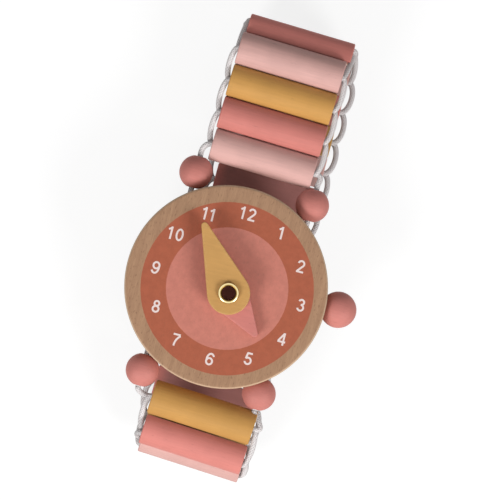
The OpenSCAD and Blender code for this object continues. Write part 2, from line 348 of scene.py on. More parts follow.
# beech with its grain along Y: banded colour with dark flecks
def beechNodes(tree, place, look):
    turn = (0, 0, math.radians(look["grainTurn"]))
    grainwise = put(tree, "ShaderNodeMapping", {"Vector": place, "Rotation": turn}).outputs[0]
    grain = useGroup(tree, woodGrain, {"Vector": grainwise})
    colour = blendColours(tree, rise(tree, grain["Bands"], *look["bandRange"]), screenColour(*look["dark"]),
                          screenColour(*look["pale"]))
    flecks = times(tree, grain["Flecks"], look["fleckShow"])
    return blendColours(tree, flecks, colour, screenColour(*look["fleck"])), grain


def beechMaterial(look):
    material, tree, sockets, place = newMaterial(
        "bareBeech", {"Specular IOR Level": look["shine"], "Roughness": look["rough"]})
    colour, grain = beechNodes(tree, place, look)
    tree.links.new(colour, sockets["Base Color"])
    bumpInto(tree, sockets, grain["Height"], look["bump"])
    return material


dialLook = dict(ringOuter=15.3, ringInner=10.8, ring=(181, 99, 72), centre=(212, 133, 117), blur=0.05,
                offset=(0.25, -0.24), uneven=dict(scale=2.2), unevenBy=0.12, topRange=(-0.08, -0.03),
                mottle=dict(scale=0.8, detail=5.0, rough=0.65), mottleRange=(0.3, 0.7), inkDark=0.93,
                inkLight=1.05, arrisRange=(-0.5, -0.25), arrisShow=0.6, fleckShow=0.12, shine=0.3,
                rough=0.56, inkRough=-0.08, bump=(0.3, 0.07))


# the disc: bare beech, paler on its rounded edge, with a ring and a middle printed on its face
def dialMaterial(look):
    material, tree, sockets, place = newMaterial("printedBeech", {"Specular IOR Level": look["shine"]})
    wood, grain = beechNodes(tree, place, beechLook)
    height = heightOf(tree, place)
    top = rise(tree, height, *look["topRange"])
    arris = times(tree, rise(tree, height, *look["arrisRange"]), oneLess(tree, top))
    wood = blendColours(tree, times(tree, arris, look["arrisShow"]), wood, screenColour(*beechLook["edge"]))
    away = [float(-m / mm - o) for m, o in zip(discMiddle, look["offset"])]
    centred = put(tree, "ShaderNodeMapping", {"Vector": place, "Location": (*away, 0)}).outputs[0]
    wobble = calc(tree, "SUBTRACT", cloud(tree, place, **look["uneven"]), noiseMiddle)
    radius = weighed(tree, radiusOf(tree, centred), (wobble, look["unevenBy"]))
    inRing, inCentre = (oneLess(tree, rise(tree, radius, look[e] - look["blur"], look[e] + look["blur"]))
                        for e in ("ringOuter", "ringInner"))
    mottle = rise(tree, cloud(tree, place, **look["mottle"]), *look["mottleRange"])
    inks = [screenColour(*look[name]) for name in ("ring", "centre")]
    ringInk, centreInk = (blendColours(tree, mottle, recolour(tree, ink, look["inkDark"]),
                                       recolour(tree, ink, look["inkLight"])) for ink in inks)
    face = blendColours(tree, inCentre, ringInk, centreInk)
    face = blendColours(tree, times(tree, grain["Flecks"], look["fleckShow"]), face,
                        screenColour(*beechLook["fleck"]))
    printed = times(tree, inRing, top)
    tree.links.new(blendColours(tree, printed, wood, face), sockets["Base Color"])
    tree.links.new(weighed(tree, look["rough"], (printed, look["inkRough"])), sockets["Roughness"])
    bumpInto(tree, sockets, grain["Height"], look["bump"])
    return material


# the first colour is a painted highlight for the rim's crest and the third is painted shade for the rest of
# the brass
brassLook = dict(highlightBrass=(250, 232, 176), tarnished=(222, 182, 104), shadedBrass=(142, 108, 52),
                 marks=dict(scale=14.0, detail=2.0), tarnish=dict(scale=1.1, detail=4.0),
                 tarnishRange=(0.45, 0.75), tarnishShow=0.3, crestFrom=(1.42, 1.56), crestTo=(1.72, 1.82),
                 rough=0.16, dullRough=0.16, bump=(0.15, 0.03))


# brass with a painted highlight, a pale ring on the rim's crest, and painted shade, darker brass elsewhere;
# with faint turning marks and a tarnish in patches
def brassMaterial(look):
    material, tree, sockets, place = newMaterial("turnedBrass", {"Metallic": 1.0})
    radius = radiusOf(tree, place)
    rings = put(tree, "ShaderNodeCombineXYZ", {0: radius, 2: heightOf(tree, place)}).outputs[0]
    tarnish = rise(tree, cloud(tree, place, **look["tarnish"]), *look["tarnishRange"])
    # painted highlight on the rim's crest; outside this ring the brass takes the darker painted shade
    crest = times(tree, rise(tree, radius, *look["crestFrom"]),
                  oneLess(tree, rise(tree, radius, *look["crestTo"])))
    shadedBrass = oneLess(tree, crest)
    colour = blendColours(tree, times(tree, tarnish, look["tarnishShow"]), screenColour(*look["highlightBrass"]),
                          screenColour(*look["tarnished"]))
    tree.links.new(blendColours(tree, shadedBrass, colour, screenColour(*look["shadedBrass"])), sockets["Base Color"])
    rough = weighed(tree, look["rough"], (calc(tree, "MAXIMUM", tarnish, shadedBrass), look["dullRough"]))
    tree.links.new(rough, sockets["Roughness"])
    bumpInto(tree, sockets, cloud(tree, rings, **look["marks"]), look["bump"])
    return material


elasticLook = dict(between=(206, 197, 197), thread=(246, 241, 240), dirtAndShade=(222, 210, 208),
                   soiling=dict(scale=0.5), soilRange=(0.45, 0.7), soilShow=0.25, shine=0.2, rough=0.8,
                   sheen=0.25, bump=(0.5, 0.05))


# white elastic: braided threads with grey between them
def elasticMaterial(look):
    material, tree, sockets, place = newMaterial(
        "braidedElastic", {"Roughness": look["rough"], "Specular IOR Level": look["shine"],
                           "Sheen Weight": look["sheen"]})
    turns = put(tree, "ShaderNodeUVMap", uv_map="cordMap").outputs[0]
    braid = useGroup(tree, cordBraid, {"Map": turns})
    colour = blendColours(tree, braid["Threads"], screenColour(*look["between"]),
                          screenColour(*look["thread"]))
    soiling = rise(tree, cloud(tree, place, **look["soiling"]), *look["soilRange"])
    colour = blendColours(tree, times(tree, soiling, look["soilShow"]), colour, screenColour(*look["dirtAndShade"]))
    tree.links.new(colour, sockets["Base Color"])
    bumpInto(tree, sockets, braid["Height"], look["bump"])
    return material


inkLook = dict(full=(250, 232, 228), thin=(226, 176, 162), thinning=dict(scale=3.2, detail=4.0),
               thinRange=(0.56, 0.8), thinShow=0.3, grain=dict(scale=6.0), shine=0.25, rough=0.55,
               bump=(0.1, 0.02))


# pale print of the numbers, a little thin in places
def numberMaterial(look):
    material, tree, sockets, place = newMaterial(
        "numberPrint", {"Roughness": look["rough"], "Specular IOR Level": look["shine"]})
    thin = rise(tree, cloud(tree, place, **look["thinning"]), *look["thinRange"])
    colour = blendColours(tree, times(tree, thin, look["thinShow"]), screenColour(*look["full"]),
                          screenColour(*look["thin"]))
    tree.links.new(colour, sockets["Base Color"])
    bumpInto(tree, sockets, cloud(tree, place, **look["grain"]), look["bump"])
    return material


paints = {name: paintMaterial(name, look, paintFinish) for name, look in paintLook.items()}
beech, dial, brass = beechMaterial(beechLook), dialMaterial(dialLook), brassMaterial(brassLook)
elastic, numberPrint = elasticMaterial(elasticLook), numberMaterial(inkLook)
print("materials made:", len(bpy.data.materials))


# quads of a rows x cols grid; a way that wraps joins its last line to its first
def gridQuads(rows, cols, wrapRows, wrapCols):
    r = np.arange(rows if wrapRows else rows - 1)[:, None]
    c = np.arange(cols if wrapCols else cols - 1)[None, :]
    nextRow, nextCol = (r + 1) % rows, (c + 1) % cols
    corners = [r * cols + c, nextRow * cols + c, nextRow * cols + nextCol, r * cols + nextCol]
    return np.stack(np.broadcast_arrays(*corners), -1).reshape(-1, 4)


# one mesh from several grids whose columns wrap; each is turned so that it encloses a positive volume.
# A grid whose rows don't wrap gets a cap at both ends. Stored gives values for the points, and lengths
# the millimetres along a cord
def makePiece(name, grids, material, wrapRows=False, stored=None, lengths=None):
    points, faces, maps = [], [], []
    start = 0
    for k, grid in enumerate(grids):
        rows, cols = grid.shape[:2]
        flat = grid.reshape(-1, 3)
        quads = gridQuads(rows, cols, wrapRows, True)
        local = flat - flat.mean(0)
        a, b, c, d = (local[quads[:, n]] for n in range(4))
        volume = (np.cross(b - a, c - a) * a).sum() + (np.cross(c - a, d - a) * a).sum()
        order = 1 if volume > 0 else -1
        faces += (quads[:, ::order] + start).tolist()
        if lengths is not None:
            r, c = np.divmod(np.arange(len(quads)), cols)
            turn = np.stack([c, c, c + 1, c + 1], -1) / cols
            reach = lengths[k][np.stack([r, r + 1, r + 1, r], -1)]
            maps.append(np.stack([turn, reach], -1)[:, ::order].reshape(-1, 2))
        if not wrapRows:
            ring = np.arange(cols)
            lastRing = ring + (rows - 1) * cols
            faces += [(ring[::order] + start).tolist(), (lastRing[::-order] + start).tolist()]
            maps.append(np.zeros((2 * cols, 2)))
        points.append(flat)
        start += len(flat)
    mesh = bpy.data.meshes.new(name)
    mesh.from_pydata(np.concatenate(points).tolist(), [], faces)
    mesh.polygons.foreach_set("use_smooth", np.ones(len(mesh.polygons), bool))
    for label, values in (stored or {}).items():
        values = np.broadcast_to(np.asarray(values, np.float32).ravel(), (start,))
        layer = mesh.attributes.new(label, "FLOAT", "POINT")
        layer.data.foreach_set("value", np.ascontiguousarray(values))
    if lengths is not None:
        layer = mesh.uv_layers.new(name="cordMap")
        layer.uv.foreach_set("vector", np.concatenate(maps).astype(np.float32).ravel())
    mesh.materials.append(material)
    mesh.update()
    piece = bpy.data.objects.new(name, mesh)
    scene.collection.objects.link(piece)
    return piece


# a closed outline resampled at equal steps, with the normal that points out of it
def evenOutline(dense, count):
    closed = np.concatenate([dense, dense[:1]])
    reach = np.concatenate([[0], np.cumsum(np.linalg.norm(np.diff(closed, axis=0), axis=1))])
    at = np.linspace(0, reach[-1], count, endpoint=False)
    even = np.stack([np.interp(at, reach, closed[:, k]) for k in range(2)], -1)
    along = np.roll(even, -1, axis=0) - np.roll(even, 1, axis=0)
    along /= np.linalg.norm(along, axis=1)[:, None]
    return even, np.stack([along[:, 1], -along[:, 0]], -1)


# points on an arc between two angles in degrees
def arcPoints(centre, radius, first, last, count):
    a = np.radians(np.linspace(first, last, count))
    return np.asarray(centre) + radius * np.stack([np.cos(a), np.sin(a)], -1)


# a bar of one outline with a hole through it: the side, a rounded edge, the end face in to the hole, the
# hole's wall, and back by the other end. Gives (rows x cols x 2) places in the section, each row's place
# along the bar and how near each row is to an edge
barLook = dict(roundSteps=6, faceShares=(0.06, 0.3, 0.65, 0.94, 1.0), wallRows=4, nearRounds=3)


def holedBar(outline, normals, hole, holeRadius, length, edge, mouth, longRows):
    quarter = np.radians(np.linspace(0, 90, barLook["roundSteps"]))[1:]
    half = length / 2
    side = np.linspace(-half + edge, half - edge, longRows)
    turnIn = half - edge + edge * np.sin(quarter)
    face = np.array(barLook["faceShares"])
    lipDepth = half - mouth * (1 - np.cos(quarter))
    wall = np.linspace(half - mouth, -half + mouth, barLook["wallRows"])[1:-1]
    endAlong = np.concatenate([turnIn, np.full(len(face), half), lipDepth])
    endInset = np.concatenate([edge * (1 - np.cos(quarter)), np.full(len(face) + len(lipDepth), edge)])
    endShare = np.concatenate([np.zeros(len(turnIn)), face, np.ones(len(lipDepth))])
    endHole = np.concatenate([np.full(len(turnIn) + len(face), mouth), mouth * (1 - np.sin(quarter))])
    along = np.concatenate([side, endAlong, wall, -endAlong[::-1]])
    inset = np.concatenate([np.zeros(longRows), endInset, np.zeros(len(wall)), endInset[::-1]])
    share = np.concatenate([np.zeros(longRows), endShare, np.ones(len(wall)), endShare[::-1]])
    grow = np.concatenate([np.zeros(longRows), endHole, np.zeros(len(wall)), endHole[::-1]])
    way = outline - hole
    way = way / np.linalg.norm(way, axis=1)[:, None]
    outer = outline[None] - inset[:, None, None] * normals[None]
    inner = hole + (holeRadius + grow)[:, None, None] * way[None]
    section = outer + share[:, None, None] * (inner - outer)
    near = np.clip(1 - (half - np.abs(along)) / (barLook["nearRounds"] * edge), 0, 1) * (1 - share)
    return section, along, near


# a profile of radius and height turned about Z
def turned(profile, around):
    a = np.linspace(0, fullTurn, around, endpoint=False)[:, None]
    radius, height = profile[None, :, 0], profile[None, :, 1]
    return np.stack([radius * np.cos(a), radius * np.sin(a), height + 0 * a], -1)


# evenly filled straight lines through the corners of a profile
def filled(corners, step):
    parts = []
    for a, b in zip(corners[:-1], corners[1:]):
        count = max(2, int(np.linalg.norm(np.subtract(b, a)) / step) + 1)
        parts.append(np.linspace(a, b, count)[:-1])
    return np.concatenate(parts)


# a round tube along a path: rings square to it, with one fixed normal to start from; and the length along it
def tubeGrid(path, normal, radius, sides):
    along = np.gradient(path, axis=0)
    along /= np.linalg.norm(along, axis=1)[:, None]
    side = np.cross(along, normal)
    side /= np.linalg.norm(side, axis=1)[:, None]
    up = np.cross(side, along)
    a = np.linspace(0, fullTurn, sides, endpoint=False)[None, :, None]
    grid = path[:, None] + radius * (np.cos(a) * up[:, None] + np.sin(a) * side[:, None])
    steps = np.linalg.norm(np.diff(path, axis=0), axis=1)
    return grid, np.concatenate([[0], np.cumsum(steps)]) / mm


# the body that a piece rides on, and the CAD nodes that it stands in for
def onBody(piece, body, nodes):
    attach(piece, body)
    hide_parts(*nodes)


# the lug beads hang a little off their drawn places on the elastic, as the picture shows, in millimetres
beadMoved = dict(lug_bead_11=(0.28, 1.05), lug_bead_1=(0.55, 0.5), lug_bead_5=(-0.19, 0.37),
                 lug_bead_7=(-0.07, -0.7))


# a lug bead's centre where it hangs, and its radius
def beadAt(node):
    low, high = (np.array(v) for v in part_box(node))
    return (low + high) / 2 + np.array([*beadMoved[node], 0]) * mm, (high[0] - low[0]) / 2


crownLow, crownHigh = (np.array(v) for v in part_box("crown_bead"))
crownRadius = (crownHigh[1] - crownLow[1]) / 2
crownCentre = np.array([crownHigh[0] - crownRadius, *((crownLow + crownHigh) / 2)[1:]])
seats = [beadAt(node) for node in beadMoved] + [(crownCentre, crownRadius)]

# the disc: turned with a bore, a rounded rim and a recess behind, and dished where the beads sit
discLook = dict(around=512, bore=1.55, round=0.45, roundSteps=10, recess=3.05, recessDepth=1.1, seatGap=0.05,
                rimStep=0.16, backStep=0.9)


def makeDisc(look):
    radius, thick = discRadius / mm, (discHigh[2] - discLow[2]) / mm
    r = look["round"]
    rim = np.concatenate([
        arcPoints((radius - r, -r), r, 90, 0, look["roundSteps"]),
        filled([(radius, -r), (radius, r - thick)], look["rimStep"])[1:],
        arcPoints((radius - r, r - thick), r, 0, -90, look["roundSteps"])])
    back = [tuple(rim[-1]), (look["recess"], -thick), (look["recess"], look["recessDepth"] - thick),
            (look["bore"], look["recessDepth"] - thick), (look["bore"], 0), tuple(rim[0])]
    profile = np.concatenate([rim[:-1], filled(back, look["backStep"])])
    grid = turned(profile * mm, look["around"])
    # a seat: points of the rim that lie in the bead's ball go in along their radius to its surface
    for centre, beadRadius in seats:
        size = beadRadius + look["seatGap"] * mm
        level = centre[:2] - discMiddle
        flat = np.linalg.norm(grid[..., :2], axis=-1)
        toward = grid[..., :2] / flat[..., None]
        reach = toward @ level
        square = reach ** 2 - (level @ level + (grid[..., 2] - centre[2]) ** 2 - size ** 2)
        dished = reach - np.sqrt(np.maximum(square, 0))
        sunk = (square > 0) & (reach > 0) & (flat > dished) & (flat > discRadius / 2)
        grid[..., :2] = np.where(sunk[..., None], toward * dished[..., None], grid[..., :2])
    # the hole stays on the hands' axis, and the rim is moved out to the disc's own middle
    share = np.clip((profile[:, 0] - look["recess"]) / (radius / 2 - look["recess"]), 0, 1)
    grid[..., :2] += share[None, :, None] * discMiddle
    piece = makePiece("woodDisc", [grid], dial, wrapRows=True)
    onBody(piece, "head", ["disc"])


makeDisc(discLook)
# the hidden peg keeps its solid
frame["nodes"]["crown_peg"].data.materials.clear()
frame["nodes"]["crown_peg"].data.materials.append(beech)
print("disc made, radius", round(discRadius / mm, 2), "mm")


# the numbers: each figure is a few flat strokes, in a box one high and 0.62 wide. A line is given by its
# two ends, an arc by its centre, its two radii and its first and last angle
figures = {
    "0": [("arc", 0.31, 0.5, 0.235, 0.43, 0, 360)],
    "1": [("line", 0.37, 0, 0.37, 1), ("line", 0.39, 0.93, 0.13, 0.74)],
    "2": [("arc", 0.31, 0.7, 0.225, 0.23, 172, -32), ("line", 0.5, 0.58, 0.1, 0.1),
          ("line", 0.03, 0.07, 0.6, 0.07)],
    "3": [("arc", 0.29, 0.735, 0.2, 0.195, 165, -95), ("arc", 0.29, 0.3, 0.23, 0.23, 95, -165)],
    "4": [("line", 0.43, 0.96, 0.05, 0.33), ("line", 0, 0.29, 0.62, 0.29), ("line", 0.45, 0, 0.45, 1)],
    "5": [("line", 0.14, 0.93, 0.56, 0.93), ("line", 0.18, 0.95, 0.1, 0.47),
          ("arc", 0.29, 0.325, 0.24, 0.255, 135, -165)],
    "6": [("arc", 0.31, 0.32, 0.235, 0.25, 0, 360), ("arc", 0.36, 0.48, 0.285, 0.45, 192, 35)],
    "7": [("line", 0.03, 0.93, 0.6, 0.93), ("arc", 0.95, 0.02, 0.72, 0.95, 180, 118)],
    "8": [("arc", 0.31, 0.74, 0.19, 0.19, 0, 360), ("arc", 0.31, 0.3, 0.235, 0.23, 0, 360)],
    "9": [("arc", 0.31, 0.68, 0.235, 0.25, 0, 360), ("arc", 0.26, 0.52, 0.285, 0.45, 12, -145)],
}
numberLook = dict(radius=13.24, height=2.25, boxWidth=0.62, stroke=0.15, step=0.74, elevenStep=0.6,
                  thick=0.03, sink=0.012, layerRise=0.002, samples=28, offset=(0.385, 0.21))


# a flat stroke: a rectangle carried along the line or arc, square to it
def strokeGrid(stroke, look):
    kind, *v = stroke
    if kind == "line":
        path = np.linspace(v[:2], v[2:], 2)
    else:
        a = np.radians(np.linspace(v[4], v[5], look["samples"]))
        path = np.stack([v[0] + v[2] * np.cos(a), v[1] + v[3] * np.sin(a)], -1)
    along = np.gradient(path, axis=0)
    # a closed arc starts and ends at its right, going straight up
    if kind == "arc" and v[5] - v[4] == 360:
        along[[0, -1]] = (0, 1)
    side = np.stack([along[:, 1], -along[:, 0]], -1) / np.linalg.norm(along, axis=1)[:, None]
    corners = np.array([(1, 1), (-1, 1), (-1, -1), (1, -1)]) * (look["stroke"] / 2, 1)
    flat = path[:, None] + corners[None, :, :1] * side[:, None]
    return np.concatenate([flat, np.broadcast_to(corners[None, :, 1:], (*flat.shape[:2], 1))], -1)


# figures stand upright round the dial; each stroke of a figure lies a hair above the one before it
def makeNumbers(look):
    grids = []
    for hour in range(1, 13):
        text = str(hour)
        step = look["elevenStep"] if text == "11" else look["step"]
        turn = math.radians(90 - 30 * hour)
        way = np.array([math.cos(turn), math.sin(turn)])
        spot = look["radius"] * way + look["offset"] + discMiddle / mm
        for k, figure in enumerate(text):
            corner = ((k - (len(text) - 1) / 2) * step - look["boxWidth"] / 2, -0.5)
            for layer, stroke in enumerate(figures[figure]):
                grid = strokeGrid(stroke, look)
                flat = (grid[..., :2] + corner) * look["height"] + spot
                top = look["thick"] - look["sink"] + look["layerRise"] * layer
                height = np.where(grid[..., 2:] > 0, top, -look["sink"])
                grids.append(np.concatenate([flat, height], -1) * mm)
    piece = makePiece("dialNumbers", grids, numberPrint)
    piece.data.polygons.foreach_set("use_smooth", np.zeros(len(piece.data.polygons), bool))
    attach(piece, "head")


makeNumbers(numberLook)
print("numbers made")


# hands: teardrop of a round end, a round tip and the two lines that touch both
handLook = dict(tip=1.2, edge=0.14, mouth=0.12, hole=1.55, tone=0.5,
                count=200, rows=5, tipSteps=60, baseSteps=400,
                hour=dict(base=7.0, length=9.1, angle=227, paint="pinkHand", slot="rose_paint"),
                minute=dict(base=7.6, length=13.2, angle=34, paint="ochre", slot="ochre_paint"))


def makeHand(name, look):
    hand = look[name]
    node = name + "_hand"
    low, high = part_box(node)
    base, tip = hand["base"] / 2, look["tip"] / 2
    tipAt = np.array([0, hand["length"] - tip])
    lean = math.degrees(math.acos((base - tip) / tipAt[1]))
    dense = np.concatenate([arcPoints(tipAt, tip, 90 - lean, 90 + lean, look["tipSteps"]),
                            arcPoints((0, 0), base, 90 + lean, 450 - lean, look["baseSteps"])])
    outline, normals = evenOutline(dense, look["count"])
    thick = (high[2] - low[2]) / mm
    section, along, near = holedBar(outline, normals, np.zeros(2), look["hole"], thick, look["edge"],
                                    look["mouth"], look["rows"])
    turn = math.radians(hand["angle"])
    x, y = section[..., 0], section[..., 1]
    height = (low[2] + high[2]) / 2 / mm + along[:, None] + 0 * x
    c, s = math.cos(turn), math.sin(turn)
    grid = np.stack([x * c - y * s, x * s + y * c, height], -1)
    piece = makePiece(name + "HandWood", [grid * mm], paints[hand["paint"]], wrapRows=True,
                      stored=dict(edge=near[:, None] + 0 * x, tone=look["tone"]))
    onBody(piece, node, [node])


for handName in ("hour", "minute"):
    makeHand(handName, handLook)
print("hands made")


# the eyelet: a tube with a rounded front rim and a rolled rear end, and the washer that it is rolled over
eyeletLook = dict(around=128, bore=1.25, barrel=1.5, rim=1.83, rimBottom=3.65, rimTop=4.0, roll=2.1,
                  rollThick=0.4, corner=0.1, mouth=0.25, rimSteps=24, cornerSteps=5, rollSteps=12,
                  mouthSteps=7, outerStep=0.5, boreStep=0.8)
washerLook = dict(around=96, inner=1.52, outer=3.0, soft=0.12, softSteps=5, step=0.5)


def makeEyelet(look):
    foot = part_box("eyelet")[0][2] / mm
    bore, barrel, rim, corner, mouth = (look[n] for n in ("bore", "barrel", "rim", "corner", "mouth"))
    lip = (rim - bore) / 2
    rollEdge = look["rollThick"] / 2
    rollAt, rollTop = look["roll"] - rollEdge, foot + look["rollThick"]
    profile = np.concatenate([
        arcPoints((bore + lip, look["rimTop"]), lip, 180, 0, look["rimSteps"]),
        arcPoints((rim - corner, look["rimBottom"] + corner), corner, 0, -90, look["cornerSteps"]),
        filled([(rim - corner, look["rimBottom"]), (barrel, look["rimBottom"]), (barrel, rollTop),
                (rollAt, rollTop)], look["outerStep"])[1:],
        arcPoints((rollAt, foot + rollEdge), rollEdge, 90, -90, look["rollSteps"]),
        arcPoints((bore + mouth, foot + mouth), mouth, 270, 180, look["mouthSteps"]),
        filled([(bore, foot + mouth), (bore, look["rimTop"])], look["boreStep"])[1:]])
    piece = makePiece("brassEyelet", [turned(profile * mm, look["around"])], brass, wrapRows=True)
    onBody(piece, "head", ["eyelet"])


def makeWasher(look):
    low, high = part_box("eyelet_washer")
    bottom, top = low[2] / mm, high[2] / mm
    inner, outer, soft = look["inner"], look["outer"], look["soft"]
    profile = np.concatenate([
        filled([(inner, bottom), (outer - soft, bottom)], look["step"]),
        arcPoints((outer - soft, bottom + soft), soft, -90, 0, look["softSteps"]),
        arcPoints((outer - soft, top - soft), soft, 0, 90, look["softSteps"]),
        filled([(outer - soft, top), (inner, top), (inner, bottom)], look["step"])[1:]])
    piece = makePiece("brassWasher", [turned(profile * mm, look["around"])], brass, wrapRows=True)
    onBody(piece, "head", ["eyelet_washer"])


makeEyelet(eyeletLook)
makeWasher(washerLook)
print("eyelet and washer made")


# beads: a ball with a drilled hole and softened mouths, very slightly out of round. The lip's points are
# shares of the mouth, out from the hole's wall and in from the ball's end
beadLook = dict(around=96, steps=72, hole=0.8, mouth=0.2, lip=((0.3, 0.12), (0.05, 0.5)), wallRows=8,
                uneven=0.012, waves=(2.1, 2.7, 2.3), phases=(1.3, 2.1, 3.7), firstTone=0.42,
                toneStep=0.05, crownTone=0.5, crownSeed=6, poleAngle=89.6)


# points pushed out from the middle by slow waves, in a phase of each bead's own
def uneven(grid, seed, look):
    way = grid / np.linalg.norm(grid, axis=-1)[..., None]
    phase = np.array(look["phases"]) * (seed + 1)
    x, y, z = np.moveaxis(way * look["waves"] + phase, -1, 0)
    swell = np.sin(x) + np.sin(y) * np.cos(z)
    return grid + (look["uneven"] * mm * swell)[..., None] * way


# the ball's arc, a lip, the hole's wall and the other lip, turned about the hole's line along Y
def makeLugBead(seed, node, look):
    centre, radius = beadAt(node)
    radius = radius / mm
    hole, mouth, steps = look["hole"], look["mouth"], look["steps"]
    first = math.degrees(math.asin((hole + mouth) / radius))
    ball = arcPoints((0, 0), radius, 90 - first, first - 90, steps)
    lowEnd = ball[-1, 1]
    wall = np.linspace((hole, lowEnd + mouth), (hole, -lowEnd - mouth), look["wallRows"])
    lip = np.array([hole, lowEnd]) + mouth * np.array(look["lip"])
    profile = np.concatenate([ball, lip, wall, (lip * (1, -1))[::-1]])
    grid = turned(profile * mm, look["around"])[..., [0, 2, 1]]
    grid = np.concatenate([uneven(grid[:, :steps], seed, look), grid[:, steps:]], axis=1) + centre
    piece = makePiece("lugBall" + node.split("_")[-1], [grid], paints["rose"], wrapRows=True,
                      stored=dict(edge=0.0, tone=look["firstTone"] + look["toneStep"] * seed))
    onBody(piece, "head", [node])


# a half circle turned about the peg's line along X, with a tiny cap at each pole
def makeCrown(look):
    ball = arcPoints((0, 0), crownRadius / mm, look["poleAngle"], -look["poleAngle"], look["steps"])
    grid = np.swapaxes(turned(ball * mm, look["around"]), 0, 1)[..., [2, 0, 1]]
    grid = uneven(grid, look["crownSeed"], look) + crownCentre
    piece = makePiece("crownBall", [grid], paints["rose"], stored=dict(edge=0.0, tone=look["crownTone"]))
    onBody(piece, "head", ["crown_bead"])


for beadIndex, beadNode in enumerate(beadMoved):
    makeLugBead(beadIndex, beadNode, beadLook)
makeCrown(beadLook)
print("beads made")


# the strap's hinge lines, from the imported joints; the loop's open link lies halfway between its neighbours
slatCount, openLink = 21, 11
jointAt = {j["name"]: np.array(j["pos_m"]) for j in frame["joints"]}
upperLines = [jointAt["strap_open"]] + [jointAt[f"slat_{i:02d}_hinge"] for i in range(2, openLink + 1)]
lowerLines = [jointAt[f"slat_{i:02d}_hinge"] for i in range(openLink + 1, slatCount + 1)]
hinges = np.array(upperLines + [(upperLines[-1] + lowerLines[0]) / 2] + lowerLines)[:, 1:]
slatAlong = np.diff(hinges, axis=0)
slatAlong /= np.linalg.norm(slatAlong, axis=1)[:, None]
slatUp = np.stack([-slatAlong[:, 1], slatAlong[:, 0]], -1)
slatMiddle = (hinges[:-1] + hinges[1:]) / 2
slatBoxes = [[np.array(v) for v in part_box(f"slat_{i:02d}")] for i in range(1, slatCount + 1)]
slatShift = np.array([(low[0] + high[0]) / 2 for low, high in slatBoxes])
levelLow, levelHigh = slatBoxes[openLink - 1]
slatLength, slatWidth, slatHeight = levelHigh - levelLow

# slats: half-round bars with a hole along them, soft ends, a little hand sanding and painted shade along the
# middle of the flat inside
slatLook = dict(corner=0.2, edge=0.25, mouth=0.25, holeLevel=1.7, hole=1.15,
                count=128, rows=28, flatSteps=60, cornerSteps=30, sideSteps=20, roundSteps=240,
                sanded=0.02, sandedAlong=(0.55, 1.7), sandedAcross=(0.9, 2.3),
                footHeight=0.9, footWidth=0.6, footWear=0.75, endWear=0.7,
                tone=0.5, toneSpread=0.16, toneStep=2.6, shadeTo=8.8, shadeFade=1.5, shadeHeight=0.3,
                paints=(("lightPink", "light_pink_paint"), ("coral", "coral_paint"),
                        ("mustard", "mustard_paint")))

# how the slats lie in the picture: a row of slat numbers, then what they have there, with even steps
# between. They are wider and longer in millimetres, turned in degrees, and slid across the strap and
# towards 12 o'clock
slatsLie = dict(
    wider=((4, 5, 6, 7, 10, 11, 16, 17, 18, 20, 21),
           (0.17, -0.3, -0.25, -0.03, -0.03, 0.4, 0.4, 0.2, 0.0, 0.0, 0.5)),
    longer=((1, 2, 4, 5, 6, 8, 18, 20, 21), (0.2, 0.45, 0.5, 0.7, 0.3, 0.0, 0.0, 0.2, 0.3)),
    turned=((1, 5, 7, 9, 16, 18, 19, 21), (1.9, 1.9, 1.2, 0.6, 0.6, 1.8, 3.2, 3.2)),
    across=((1, 4, 6, 7, 10, 17, 18, 19, 20, 21), (-0.3, 0.15, 0.35, 0.6, 0.5, -0.9, -0.7, 0.1, 0.5, 0.65)),
    upward=((6, 7, 10, 12, 17, 18, 19, 20, 21), (0.0, 0.12, 1.35, 1.35, 0.1, 0.0, 0.4, 0.45, 0.65)))
slatWider, slatLonger, slatTurned, slatAcross, slatUpward = (
    np.interp(np.arange(1, slatCount + 1), *slatsLie[name])
    for name in ("wider", "longer", "turned", "across", "upward"))
slatHalf = (slatLength + slatLonger * mm) / 2
slatSlide = np.stack([slatAcross, slatUpward], -1) * mm


# points turned clockwise about the upright line through a slat's middle, and slid with the slat
def askew(i, points):
    middle = np.array([slatShift[i - 1], slatMiddle[i - 1][0]])
    x, y = np.moveaxis(points[..., :2] - middle, -1, 0)
    turn = -math.radians(slatTurned[i - 1])
    c, s = math.cos(turn), math.sin(turn)
    middle = middle + slatSlide[i - 1]
    return np.stack([middle[0] + x * c - y * s, middle[1] + x * s + y * c, points[..., 2]], -1)


# a flat foot with rounded corners, short upright sides and a half circle
def slatOutline(width, look):
    half, height, corner = width / 2, slatHeight / mm, look["corner"]
    flat, side = look["flatSteps"], look["sideSteps"]
    dense = np.concatenate([
        np.linspace((0, 0), (half - corner, 0), flat),
        arcPoints((half - corner, corner), corner, -90, 0, look["cornerSteps"]),
        np.linspace((half, corner), (half, height - half), side),
        arcPoints((0, height - half), half, 0, 180, look["roundSteps"]),
        np.linspace((-half, height - half), (-half, corner), side),
        arcPoints((corner - half, corner), corner, 180, 270, look["cornerSteps"]),
        np.linspace((corner - half, 0), (0, 0), flat)[:-1]])
    return evenOutline(dense, look["count"])


